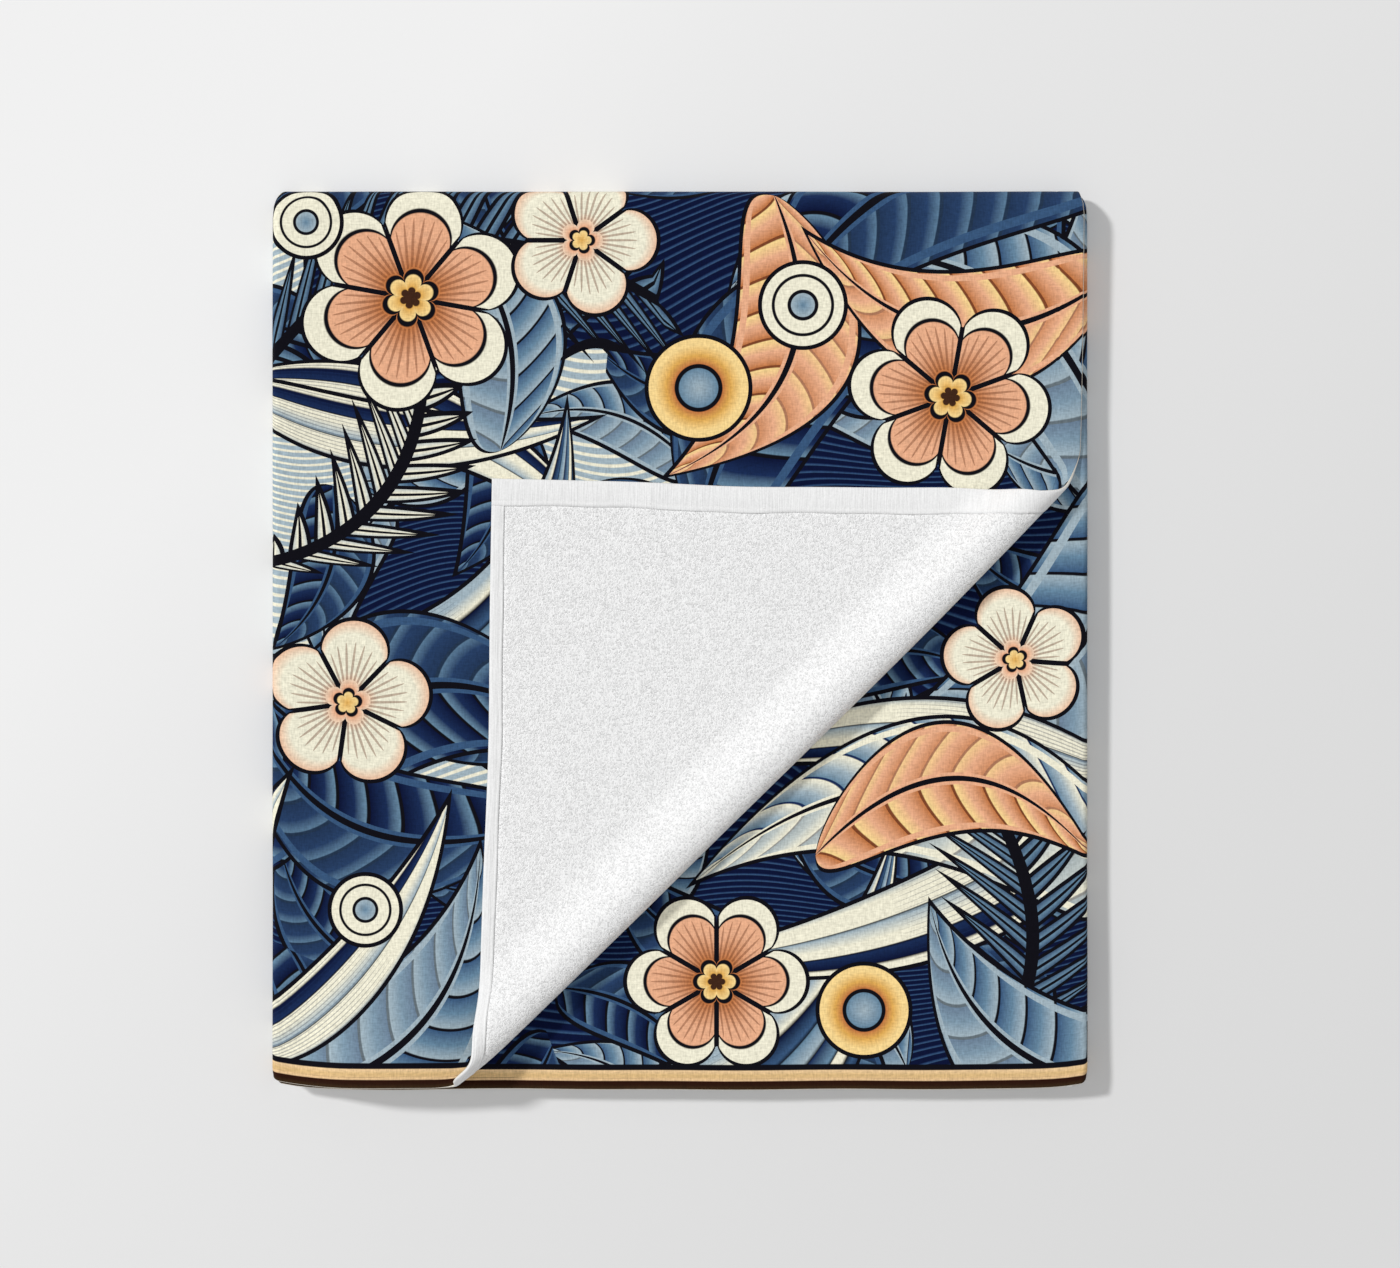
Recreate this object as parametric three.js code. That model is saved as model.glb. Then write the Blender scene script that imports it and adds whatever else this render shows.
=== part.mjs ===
// A beach towel folded for display, in millimetres, +Z up, resting on Z = 0.
// Its length is rolled over in quarters, the strip is then turned under once across its
// width along the back edge (+Y), and the front right corner is laid back over the top,
// so that the terry reverse shows. The cloth is one cut with its own hems: one solid.

import * as THREE from 'three';
import { mergeVertices } from 'three/addons/utils/BufferGeometryUtils.js';

// The folded packet and its cloth.
const PACKET_WIDTH = 454;
const PACKET_DEPTH = 500;
const THICKNESS = 1.8;
const PITCH = 2.35;

// The strip of four layers turns about a line along X, so the packet has eight layers.
const TOP_LEVEL = 3.5;
const TURN_HEIGHT = TOP_LEVEL * PITCH + THICKNESS / 2;
const TURN_Y = PACKET_DEPTH / 2 - TURN_HEIGHT;

// The length, from the free end on top to the free end inside. A panel lies `level`
// pitches from the turning line, runs from x = `start` to x = `end`, and has its side
// hems at y = `frontTop` in the top half of the packet and `frontLow` in the low half.
// Half round folds join each panel to the next.
const LEFT_FOLD = -PACKET_WIDTH / 2 + THICKNESS / 2 + 1.5 * PITCH;
const RIGHT_FOLD = PACKET_WIDTH / 2 - THICKNESS / 2 - PITCH;
const PANELS = [
  { name: 'top', level: 3.5, start: 224.7, end: LEFT_FOLD, frontTop: -247.8, frontLow: -249.0 },
  { name: 'under', level: 0.5, start: LEFT_FOLD, end: RIGHT_FOLD, frontTop: -246.9, frontLow: -247.8 },
  { name: 'second', level: 2.5, start: RIGHT_FOLD, end: LEFT_FOLD, frontTop: -250.0, frontLow: -247.2 },
  { name: 'inner', level: 1.5, start: LEFT_FOLD, end: 219, frontTop: -248.6, frontLow: -248.9 },
];

// The side hems draw in a little where the cloth goes round a fold.
const DRAW_IN = 4;
const DRAW_REACH = 16;

// The laid-back corner. Its fold runs at FOLD_ANGLE to the X axis, and LIFT is how far in
// front of the packet's middle the cloth leaves the layer below. From there it goes out and
// up round a soft nose, back over a crest, and down to a foot, and then lies flat.
const FOLD_ANGLE = THREE.MathUtils.degToRad(44.5);
const LIFT = 76.6;
const NOSE_OUT = 15;
const NOSE_UP = 9;
const CREST_OUT = 1;
const CREST_UP = 18;
const FOOT_OUT = -32;
const QUARTER_ROUND = 0.5523;

// The nose draws back towards the two ends of the fold, from its straightest stretch.
const BOW = 5.5;
const BOW_MIDDLE = -60;
const BOW_HALF_LENGTH = 285;

// The free end of the top layer is drawn in beside the fold.
const END_PULL = 5;
const END_PULL_REACH = 40;
const END_PULL_DEPTH = 60;

// The top layer heaves up a little where its fold runs out over the front edge.
const HEAVE = 5.5;
const HEAVE_X = -135;
const HEAVE_Y = -250;
const HEAVE_REACH = 52;

// In plan the packet's corners draw in, more along the turned back edge than in front.
const BACK_CORNER = 2.8;
const FRONT_CORNER = 1.6;
const CORNER_REACH = 13;
const CORNER_POWER = 8;

// The packet's height varies by a few hundredths from place to place.
const SWELL = 0.03;
const SWELL_LENGTH = 210;

// How finely the sheet is cut.
const FLAT_STEP = 82;
const FOLD_STEPS = 8;
const TURN_STEPS = 10;
const ROLL_STEPS = 16;

const half = (value) => value / 2;
const smooth = (value) => THREE.MathUtils.smoothstep(value, 0, 1);

// The runs of the length: each panel, and the fold that joins it to the next one. A fold
// bulges towards `side` and turns about a centre at x = `centre`.
function lengthRuns() {
  const runs = [];
  let from = 0;
  PANELS.forEach((panel, index) => {
    const next = PANELS[index + 1];
    const side = Math.sign(panel.end - panel.start);
    const panelLength = Math.abs(panel.end - panel.start);
    runs.push({ kind: 'panel', from, to: from + panelLength, side, panel });
    from += panelLength;
    if (next) {
      const radius = half(Math.abs(next.level - panel.level) * PITCH);
      const rise = Math.sign(next.level - panel.level);
      runs.push({ kind: 'fold', from, to: from + Math.PI * radius, side, rise, radius, panel, next });
      from += Math.PI * radius;
    }
  });
  return runs;
}

const RUNS = lengthRuns();
const LENGTH = RUNS[RUNS.length - 1].to;
const TURN_LENGTH = Math.PI * TOP_LEVEL * PITCH;
const HALF_WIDTH = TURN_Y - PANELS[0].frontTop;
const WIDTH = 2 * HALF_WIDTH + TURN_LENGTH;

// Where a point of the length lies: x, the distance h from the turning line, and the
// direction in x and h that the printed face looks.
function lengthAt(u) {
  const run = RUNS.find((each) => u <= each.to) ?? RUNS[RUNS.length - 1];
  const along = u - run.from;
  if (run.kind === 'panel') {
    const x = run.panel.start + run.side * along;
    return { run, x, h: run.panel.level * PITCH, faceX: 0, faceH: -run.side };
  }
  const angle = along / run.radius;
  const centre = half(run.panel.level + run.next.level) * PITCH;
  const x = run.panel.end + run.side * run.radius * Math.sin(angle);
  const h = centre - run.rise * run.radius * Math.cos(angle);
  return { run, x, h, faceX: run.side * Math.sin(angle), faceH: -run.side * Math.cos(angle) };
}

// Where the side hem lies at a point of the length, in the top or the low half.
function hemY(u, run, key) {
  const draw = RUNS.filter((each) => each.kind === 'fold')
    .map((fold) => Math.abs(u - half(fold.from + fold.to)))
    .reduce((sum, distance) => sum + DRAW_IN * Math.exp(-distance / DRAW_REACH), 0);
  if (run.kind === 'panel') {
    return run.panel[key] + draw;
  }
  const part = smooth((u - run.from) / (run.to - run.from));
  return THREE.MathUtils.lerp(run.panel[key], run.next[key], part) + draw;
}

// The section of the corner's fold: x counts outwards from the line where the cloth lifts,
// y counts up from the layer that it leaves.
function rollSection() {
  const point = (x, y) => new THREE.Vector2(x, y);
  const noseRound = NOSE_UP * QUARTER_ROUND;
  const outRound = NOSE_OUT * QUARTER_ROUND;
  const overRound = (NOSE_OUT - CREST_OUT) * QUARTER_ROUND;
  const slope = half(CREST_OUT - FOOT_OUT);
  const nose = point(NOSE_OUT, NOSE_UP);
  const crest = point(CREST_OUT, CREST_UP);
  const foot = point(FOOT_OUT, PITCH);
  const section = new THREE.CurvePath();
  section.add(new THREE.CubicBezierCurve(
    point(0, 0), point(outRound, 0), point(NOSE_OUT, NOSE_UP - noseRound), nose));
  section.add(new THREE.CubicBezierCurve(
    nose, point(NOSE_OUT, NOSE_UP + noseRound), point(CREST_OUT + overRound, CREST_UP), crest));
  section.add(new THREE.CubicBezierCurve(
    crest, point(CREST_OUT - slope, CREST_UP), point(FOOT_OUT + slope, PITCH), foot));
  return section;
}

const ROLL = rollSection();
const ROLL_LENGTH = ROLL.getLength();
const OUT = new THREE.Vector2(Math.sin(FOLD_ANGLE), -Math.cos(FOLD_ANGLE));
const ALONG = new THREE.Vector2(Math.cos(FOLD_ANGLE), Math.sin(FOLD_ANGLE));

// Lays back the part of the top layer that is past the lift line. `place` and `face` are
// the point and the printed face's direction before that.
function layBack(place, face) {
  const flat = new THREE.Vector2(place.x, place.y);
  const fromFold = Math.abs(flat.dot(OUT) - LIFT - half(ROLL_LENGTH)) / END_PULL_REACH;
  const fromEnd = (PANELS[0].start - flat.x) / END_PULL_DEPTH;
  flat.x -= END_PULL * Math.exp(-fromFold - fromEnd);
  place.x = flat.x;
  const past = flat.dot(OUT) - LIFT;
  if (past <= 0) {
    return;
  }
  const along = flat.dot(ALONG);
  const share = Math.min(past / ROLL_LENGTH, 1);
  const point = ROLL.getPointAt(share);
  const heading = ROLL.getTangentAt(share);
  const beyond = Math.max(past - ROLL_LENGTH, 0);
  const bow = BOW * ((along - BOW_MIDDLE) / BOW_HALF_LENGTH) ** 4;
  const out = LIFT + point.x - beyond - bow * Math.sin(Math.PI * Math.sqrt(share));
  place.x = out * OUT.x + along * ALONG.x;
  place.y = out * OUT.y + along * ALONG.y;
  place.z += point.y;
  face.set(-heading.y * OUT.x, -heading.y * OUT.y, heading.x);
}

// A point of the cloth's middle surface and the direction that its printed face looks.
// u runs along the length from the free end on top, v across the width from its side hem.
function clothAt(u, v) {
  const { run, x, h, faceX, faceH } = lengthAt(u);
  const place = new THREE.Vector3(x, 0, 0);
  const face = new THREE.Vector3(faceX, 0, 0);
  if (v <= HALF_WIDTH) {
    place.y = THREE.MathUtils.lerp(hemY(u, run, 'frontTop'), TURN_Y, v / HALF_WIDTH);
    place.z = TURN_HEIGHT + h;
    face.z = faceH;
    if (run === RUNS[0]) {
      layBack(place, face);
      const away = Math.hypot(place.x - HEAVE_X, place.y - HEAVE_Y) / HEAVE_REACH;
      place.z += HEAVE * Math.exp(-away * away);
    }
  } else if (v < HALF_WIDTH + TURN_LENGTH) {
    const angle = Math.PI * (v - HALF_WIDTH) / TURN_LENGTH;
    place.y = TURN_Y + h * Math.sin(angle);
    place.z = TURN_HEIGHT + h * Math.cos(angle);
    face.y = faceH * Math.sin(angle);
    face.z = faceH * Math.cos(angle);
  } else {
    place.y = THREE.MathUtils.lerp(hemY(u, run, 'frontLow'), TURN_Y, (WIDTH - v) / HALF_WIDTH);
    place.z = TURN_HEIGHT - h;
    face.z = -faceH;
  }
  return { place, face };
}

// How far a point is drawn in towards the middle because it is near a corner in plan.
function cornerDraw(x, y) {
  const back = smooth((y - half(PACKET_DEPTH)) / CORNER_REACH + 1);
  const front = smooth((-y - half(PACKET_DEPTH)) / CORNER_REACH + 1);
  const side = (x / half(PACKET_WIDTH)) ** CORNER_POWER;
  return Math.sign(x) * side * (BACK_CORNER * back + FRONT_CORNER * front);
}

// The packet's gentle unevenness: heights grow or shrink together, so layers stay apart.
function swellAt(x, y) {
  const wave = 2 * Math.PI / SWELL_LENGTH;
  return 1 + SWELL * Math.sin(x * wave + 0.8) * Math.cos(y * wave * 0.8 - 0.4);
}

// Cuts every cell of the flat sheet that the line a*u + b*v = c crosses into two cells.
// A corner that lies nearly on the line counts as on it, so that no sliver is left.
function cutCells(cells, { a, b, c }) {
  const nearly = 0.05;
  return cells.flatMap((cell) => {
    const sides = cell.map(([u, v]) => a * u + b * v - c);
    if (Math.min(...sides) > -nearly || Math.max(...sides) < nearly) {
      return [cell];
    }
    const before = [];
    const after = [];
    cell.forEach((corner, index) => {
      const side = sides[index];
      const next = (index + 1) % cell.length;
      if (side < nearly) {
        before.push(corner);
      }
      if (side > -nearly) {
        after.push(corner);
      }
      if (Math.abs(side) > nearly && Math.abs(sides[next]) > nearly && side * sides[next] < 0) {
        const [near, far] = [Math.abs(side), Math.abs(sides[next])];
        const crossing = corner.map((value, axis) =>
          (value * far + cell[next][axis] * near) / (near + far));
        before.push(crossing);
        after.push(crossing);
      }
    });
    return [before, after];
  });
}

// Evenly spaced values from `from` to `to`, both included.
function evenly(from, to, steps) {
  return Array.from({ length: steps + 1 }, (_, step) => from + (to - from) * step / steps);
}

// The lines that the flat sheet is cut along: across and along its folds, and beside the
// corner's fold, where x + y in the panel's own plane counts outwards.
function cutLines() {
  const flatSteps = (length) => Math.ceil(length / FLAT_STEP);
  const across = RUNS.flatMap((run) => {
    const steps = run.kind === 'fold' ? FOLD_STEPS : flatSteps(run.to - run.from);
    return evenly(run.from, run.to, steps);
  });
  const turned = HALF_WIDTH + TURN_LENGTH;
  const along = [
    ...evenly(0, HALF_WIDTH, flatSteps(HALF_WIDTH)),
    ...evenly(HALF_WIDTH, turned, TURN_STEPS),
    ...evenly(turned, WIDTH, flatSteps(HALF_WIDTH)),
  ];
  const corner = new THREE.Vector2(PANELS[0].start, PANELS[0].frontTop).dot(OUT);
  const diagonal = evenly(0, ROLL_LENGTH, ROLL_STEPS);
  return [
    ...across.map((u) => ({ a: 1, b: 0, c: u })),
    ...along.map((v) => ({ a: 0, b: 1, c: v })),
    ...diagonal.map((past) => ({ a: OUT.x, b: -OUT.y, c: corner - LIFT - past })),
  ];
}

// The closed skin of the sheet: its printed face, its reverse and the edge between them.
function towelGeometry() {
  const sheet = [[0, 0], [LENGTH, 0], [LENGTH, WIDTH], [0, WIDTH]];
  const cells = cutLines().reduce(cutCells, [sheet]);
  const positions = [];
  const corner = ([u, v], faceSide) => {
    const { place, face } = clothAt(u, v);
    place.addScaledVector(face, faceSide * half(THICKNESS));
    place.x -= cornerDraw(place.x, place.y);
    place.z *= swellAt(place.x, place.y);
    positions.push(place.x, place.y, place.z);
  };
  const onEdge = ([u0, v0], [u1, v1]) => {
    const nearly = 1e-6;
    const same = (first, second, value) =>
      Math.abs(first - value) < nearly && Math.abs(second - value) < nearly;
    return same(u0, u1, 0) || same(u0, u1, LENGTH) || same(v0, v1, 0) || same(v0, v1, WIDTH);
  };
  cells.forEach((cell) => {
    for (let index = 1; index < cell.length - 1; index += 1) {
      const triangle = [cell[0], cell[index], cell[index + 1]];
      triangle.forEach((each) => corner(each, -1));
      triangle.reverse().forEach((each) => corner(each, 1));
    }
    cell.forEach((start, index) => {
      const end = cell[(index + 1) % cell.length];
      if (onEdge(start, end)) {
        corner(start, 1);
        corner(end, -1);
        corner(start, -1);
        corner(start, 1);
        corner(end, 1);
        corner(end, -1);
      }
    });
  });
  const geometry = new THREE.BufferGeometry();
  geometry.setAttribute('position', new THREE.Float32BufferAttribute(positions, 3));
  const closed = mergeVertices(geometry, 1e-3);
  closed.computeVertexNormals();
  return closed;
}

const towel = new THREE.Mesh(
  towelGeometry(),
  new THREE.MeshStandardMaterial({ color: 0x5f86a8, roughness: 0.95, metalness: 0 }),
);
towel.name = 'towel';

const beachTowel = new THREE.Group();
beachTowel.add(towel);

export default beachTowel;
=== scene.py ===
import math

import bmesh
import bpy
import numpy as np
from mathutils import Matrix, Vector


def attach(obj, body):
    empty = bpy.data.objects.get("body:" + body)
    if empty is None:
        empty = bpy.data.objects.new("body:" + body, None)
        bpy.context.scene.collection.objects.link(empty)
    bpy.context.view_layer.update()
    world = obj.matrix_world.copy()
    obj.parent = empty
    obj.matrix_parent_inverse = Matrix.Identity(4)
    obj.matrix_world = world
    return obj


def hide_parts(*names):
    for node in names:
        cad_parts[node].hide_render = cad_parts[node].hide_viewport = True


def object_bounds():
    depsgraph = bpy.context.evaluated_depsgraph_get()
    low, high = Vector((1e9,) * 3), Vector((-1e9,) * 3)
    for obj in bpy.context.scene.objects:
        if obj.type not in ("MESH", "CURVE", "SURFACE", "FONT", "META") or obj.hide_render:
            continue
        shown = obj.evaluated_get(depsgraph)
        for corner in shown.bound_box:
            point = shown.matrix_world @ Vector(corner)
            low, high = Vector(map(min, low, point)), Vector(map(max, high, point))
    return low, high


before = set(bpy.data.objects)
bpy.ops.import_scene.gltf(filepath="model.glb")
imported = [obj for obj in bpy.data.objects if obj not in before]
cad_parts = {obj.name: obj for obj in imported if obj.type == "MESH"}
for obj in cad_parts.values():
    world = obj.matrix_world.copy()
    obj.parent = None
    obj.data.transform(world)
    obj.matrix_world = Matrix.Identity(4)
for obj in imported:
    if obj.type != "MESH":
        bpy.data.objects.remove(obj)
cad_low, cad_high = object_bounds()


# ---- Camera ----------------------------------
# It looks straight down on the folded towel from a little over two metres, with a long
# lens, so that the sides of the stack hardly show.

FRAMED_WIDTH = 0.7778
FRAMED_MIDDLE = (0.0108, 0.0033)
FRAMED_HEIGHT_ABOVE_FLOOR = 0.018


def add_object(name, data):
    """A new object, placed in the scene."""
    added = bpy.data.objects.new(name, data)
    bpy.context.scene.collection.objects.link(added)
    return added


camera_lens = bpy.data.cameras.new("camera")
camera_lens.lens = 100
camera_lens.sensor_width = 36
camera = add_object("camera", camera_lens)
camera_distance = FRAMED_WIDTH * camera_lens.lens / camera_lens.sensor_width
camera.location = (*FRAMED_MIDDLE, FRAMED_HEIGHT_ABOVE_FLOOR + camera_distance)
bpy.context.scene.camera = camera


# ---- The towel: how it is folded -------------
# One cut of cotton cloth, printed on its smooth face and looped on its reverse. Its length
# is rolled over in quarters, the strip is turned under along the back edge, and the front
# right corner of the top layer is laid back so that the looped reverse shows.

# PITCH is the height from one layer to the next. Levels are counted in pitches.
THICKNESS = 0.0018
PITCH = 0.00235
TOP_LEVEL = 3.5
HALF_PACKET_WIDTH = (cad_high.x - cad_low.x) / 2
HALF_PACKET_DEPTH = (cad_high.y - cad_low.y) / 2
TURN_HEIGHT = TOP_LEVEL * PITCH + THICKNESS / 2
TURN_Y = HALF_PACKET_DEPTH - TURN_HEIGHT
LEFT_FOLD = -HALF_PACKET_WIDTH + THICKNESS / 2 + 1.5 * PITCH
RIGHT_FOLD = HALF_PACKET_WIDTH - THICKNESS / 2 - 1.25 * PITCH

# From the free end on top to the free end inside. A panel lies `level` pitches from the
# line that the strip turns about, and has its side hems at y = front_top and front_low.
PANELS = [
    dict(level=3.5, start=0.2247, end=LEFT_FOLD, front_top=-0.2478, front_low=-0.2490),
    dict(level=0.5, start=LEFT_FOLD, end=RIGHT_FOLD, front_top=-0.2469, front_low=-0.2478),
    dict(level=2.5, start=RIGHT_FOLD, end=LEFT_FOLD, front_top=-0.2500, front_low=-0.2472),
    dict(level=1.5, start=LEFT_FOLD, end=0.2190, front_top=-0.2486, front_low=-0.2489),
]
DRAW_IN = 0.004
DRAW_REACH = 0.016


def length_runs():
    """Each panel, and the half round fold that joins it to the next one, along the length."""
    runs, start = [], 0.0
    for panel, following in zip(PANELS, PANELS[1:] + [None]):
        side = math.copysign(1, panel["end"] - panel["start"])
        length = abs(panel["end"] - panel["start"])
        runs.append(dict(fold=False, start=start, end=start + length, side=side, panel=panel))
        start += length
        if following:
            rise = following["level"] - panel["level"]
            radius = abs(rise) * PITCH / 2
            runs.append(dict(
                fold=True, start=start, end=start + math.pi * radius, side=side, panel=panel,
                following=following, rise=math.copysign(1, rise), radius=radius,
            ))
            start += math.pi * radius
    return runs


RUNS = length_runs()
FOLDS = [run for run in RUNS if run["fold"]]
LENGTH = RUNS[-1]["end"]
HALF_WIDTH = TURN_Y - PANELS[0]["front_top"]
TURN_LENGTH = math.pi * TOP_LEVEL * PITCH
WIDTH = 2 * HALF_WIDTH + TURN_LENGTH


def smooth(value):
    """0 to 1 with a soft start and end."""
    value = np.clip(value, 0, 1)
    return value * value * (3 - 2 * value)


def bell(away, reach):
    """1 where there is no distance, about a third at the reach, and soon 0 past it."""
    return np.exp(-(away / reach) ** 2)


def lie_along_length(u):
    """x, height above the turning line, the printed face's direction, and both front hems."""
    x, h, face_x, face_h, front_top, front_low = np.zeros((6, len(u)))
    for run in RUNS:
        here = (u >= run["start"]) & (u <= run["end"])
        panel, side = run["panel"], run["side"]
        along = u[here] - run["start"]
        if run["fold"]:
            following, radius = run["following"], run["radius"]
            angle = along / radius
            part = smooth(angle / math.pi)
            middle = (panel["level"] + following["level"]) / 2 * PITCH
            x[here] = panel["end"] + side * radius * np.sin(angle)
            h[here] = middle - run["rise"] * radius * np.cos(angle)
            face_x[here] = side * np.sin(angle)
            face_h[here] = -side * np.cos(angle)
            for hem, key in ((front_top, "front_top"), (front_low, "front_low")):
                hem[here] = panel[key] + (following[key] - panel[key]) * part
        else:
            x[here] = panel["start"] + side * along
            h[here] = panel["level"] * PITCH
            face_h[here] = -side
            front_top[here] = panel["front_top"]
            front_low[here] = panel["front_low"]
    for fold in FOLDS:
        away = np.abs(u - (fold["start"] + fold["end"]) / 2)
        draw = DRAW_IN * np.exp(-away / DRAW_REACH)
        front_top += draw
        front_low += draw
    return x, h, face_x, face_h, front_top, front_low


# The laid-back corner. Its fold lies at FOLD_ANGLE to the packet's front, and LIFT is how far
# in front of the packet's middle the cloth leaves the layer below. From there it goes out
# and up round a soft nose, back over a crest, and down to a foot, and then lies flat. The
# fold bows back towards both its ends, and pulls in the edges that it crosses there. The
# front edge heaves up beside its lower end.
FOLD_ANGLE = math.radians(44.5)
OUT = np.array((math.sin(FOLD_ANGLE), -math.cos(FOLD_ANGLE)))
ALONG = np.array((math.cos(FOLD_ANGLE), math.sin(FOLD_ANGLE)))
LIFT = 0.0796
NOSE = (0.0125, 0.0085)
CREST = (0.0020, 0.0158)
FOOT = (-0.0285, PITCH)
CREST_SHARE = 0.36
FOOT_SHARE = 0.50
BOW = 0.0042
BOW_MIDDLE = -0.060
BOW_HALF_LENGTH = 0.285
BOW_PEAK = 0.28
CORNER_TAPER = 0.0020
CORNER_TAPER_REACH = 0.38
END_PULL = 0.0043
END_PULL_REACH = 0.055
END_PULL_DEPTH = 0.060
TIP_PULL = 0.0080
TIP_REACH = 0.006
TIP_SHARE = 0.09
HEAVE = 0.0125
HEAVE_PLACE = (-0.157, -0.252)
HEAVE_REACH = 0.066
HEAVE_FADE = 0.038


def fold_section():
    """Points of the corner's fold as (out, up) from the lift, and how far along it each is."""
    quarter_round = 0.5523
    from_crest = (CREST[0] - FOOT[0]) * CREST_SHARE
    to_foot = (CREST[0] - FOOT[0]) * FOOT_SHARE
    over = (NOSE[0] - CREST[0]) * quarter_round
    curves = [
        ((0, 0), (NOSE[0] * quarter_round, 0), (NOSE[0], NOSE[1] * (1 - quarter_round)), NOSE),
        (NOSE, (NOSE[0], NOSE[1] * (1 + quarter_round)), (CREST[0] + over, CREST[1]), CREST),
        (CREST, (CREST[0] - from_crest, CREST[1]), (FOOT[0] + to_foot, FOOT[1]), FOOT),
    ]
    t = np.linspace(0, 1, 201)[:, None]
    points = np.concatenate([
        (1 - t) ** 3 * a + 3 * t * (1 - t) ** 2 * b + 3 * t * t * (1 - t) * c + t ** 3 * d
        for a, b, c, d in np.array(curves)
    ])
    steps = np.hypot(*np.diff(points, axis=0).T)
    return points, np.concatenate(([0], np.cumsum(steps)))


SECTION, SECTION_LENGTHS = fold_section()
ROLL_LENGTH = SECTION_LENGTHS[-1]


def lay_back(place, face):
    """Turns over what lies past the lift line of the top layer."""
    flat = place[:, :2]
    from_fold = np.abs(flat @ OUT - LIFT - ROLL_LENGTH / 2) / END_PULL_REACH
    from_end = (PANELS[0]["start"] - flat[:, 0]) / END_PULL_DEPTH
    place[:, 0] -= END_PULL * np.exp(-from_fold - from_end)
    past = place[:, :2] @ OUT - LIFT
    along = place[:, :2] @ ALONG
    turned = past > 0
    share = np.minimum(past / ROLL_LENGTH, 1)
    at = np.clip(past, 0, ROLL_LENGTH)
    out, up = (np.interp(at, SECTION_LENGTHS, SECTION[:, axis]) for axis in (0, 1))
    step = ROLL_LENGTH / 400
    before, after = np.clip(at - step, 0, None), np.clip(at + step, None, ROLL_LENGTH)
    heading = np.stack([
        np.interp(after, SECTION_LENGTHS, SECTION[:, axis])
        - np.interp(before, SECTION_LENGTHS, SECTION[:, axis])
        for axis in (0, 1)
    ])
    heading /= np.hypot(*heading)
    bow = BOW * ((along - BOW_MIDDLE) / BOW_HALF_LENGTH) ** 4
    drawn_back = smooth(share / BOW_PEAK) - smooth((share - BOW_PEAK) / (1 - BOW_PEAK))
    out = LIFT + out - np.maximum(past - ROLL_LENGTH, 0) - bow * drawn_back
    along -= np.sign(along - BOW_MIDDLE) * bow * drawn_back
    back = np.column_stack((out[:, None] * OUT + along[:, None] * ALONG, place[:, 2] + up))
    from_front = (flat[:, 1] - PANELS[0]["front_top"]) / TIP_REACH
    back[:, 0] -= TIP_PULL * np.exp(-from_front) * bell(share - BOW_PEAK, TIP_SHARE)
    looks = np.column_stack((-heading[1][:, None] * OUT, heading[0]))
    place[turned] = back[turned]
    face[turned] = looks[turned]


# How the laid-back end hem bows in and out along its length, each bow fading into the cloth,
# and how its side hem bows in once.
HEM_BOWS = [
    dict(at=0.140, inward=0.0014, reach=0.042),
    dict(at=0.262, inward=-0.0018, reach=0.032),
]
HEM_BOW_FADE = 0.060
SIDE_BOW = 0.0013
SIDE_BOW_PLACE = 0.150
SIDE_BOW_REACH = 0.060


def hem_bow(u, v):
    """How far the laid-back end hem bows into the cloth."""
    bows = [bow["inward"] * bell(v - bow["at"], bow["reach"]) for bow in HEM_BOWS]
    return sum(bows) * bell(u, HEM_BOW_FADE)


def fold_cloth(u, v):
    """Where points of the flat cloth lie once folded, and the way their printed face looks."""
    x, h, face_x, face_h, front_top, front_low = lie_along_length(u)
    place = np.column_stack((x, np.zeros_like(x), np.zeros_like(x)))
    face = np.column_stack((face_x, np.zeros_like(x), np.zeros_like(x)))
    upper = v <= HALF_WIDTH
    lower = v >= HALF_WIDTH + TURN_LENGTH
    turn = ~upper & ~lower
    share = v / HALF_WIDTH
    place[upper, 1] = (front_top + (TURN_Y - front_top) * share)[upper]
    place[upper, 2] = (TURN_HEIGHT + h)[upper]
    face[upper, 2] = face_h[upper]
    angle = math.pi * (v - HALF_WIDTH) / TURN_LENGTH
    place[turn, 1] = (TURN_Y + h * np.sin(angle))[turn]
    place[turn, 2] = (TURN_HEIGHT + h * np.cos(angle))[turn]
    face[turn, 1] = (face_h * np.sin(angle))[turn]
    face[turn, 2] = (face_h * np.cos(angle))[turn]
    share = (WIDTH - v) / HALF_WIDTH
    place[lower, 1] = (front_low + (TURN_Y - front_low) * share)[lower]
    place[lower, 2] = (TURN_HEIGHT - h)[lower]
    face[lower, 2] = -face_h[lower]
    top = upper & (u <= RUNS[0]["end"])
    top_place, top_face = place[top], face[top]
    top_place[:, 0] -= hem_bow(u[top], v[top])
    taper = (1 - smooth(u[top] / CORNER_TAPER_REACH)) * (1 - smooth(v[top] / CORNER_TAPER_REACH))
    top_place[:, 1] += CORNER_TAPER * taper
    from_bow = np.hypot(u[top] - SIDE_BOW_PLACE, v[top])
    top_place[:, 1] += SIDE_BOW * bell(from_bow, SIDE_BOW_REACH)
    lay_back(top_place, top_face)
    away = np.hypot(*(top_place[:, :2] - HEAVE_PLACE).T)
    from_left_fold = smooth((RUNS[0]["end"] - u[top]) / HEAVE_FADE)
    top_place[:, 2] += HEAVE * from_left_fold * bell(away, HEAVE_REACH)
    place[top], face[top] = top_place, top_face
    return place, face


# ---- The towel: its cloth --------------------
# The flat cut is a grid, finer at its hems and folds and where it shows, with more lines
# across the corner's fold. Every edge is turned in twice and sewn down, in a wide hem at
# the two ends of the length and a narrow one along the two sides.

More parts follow.
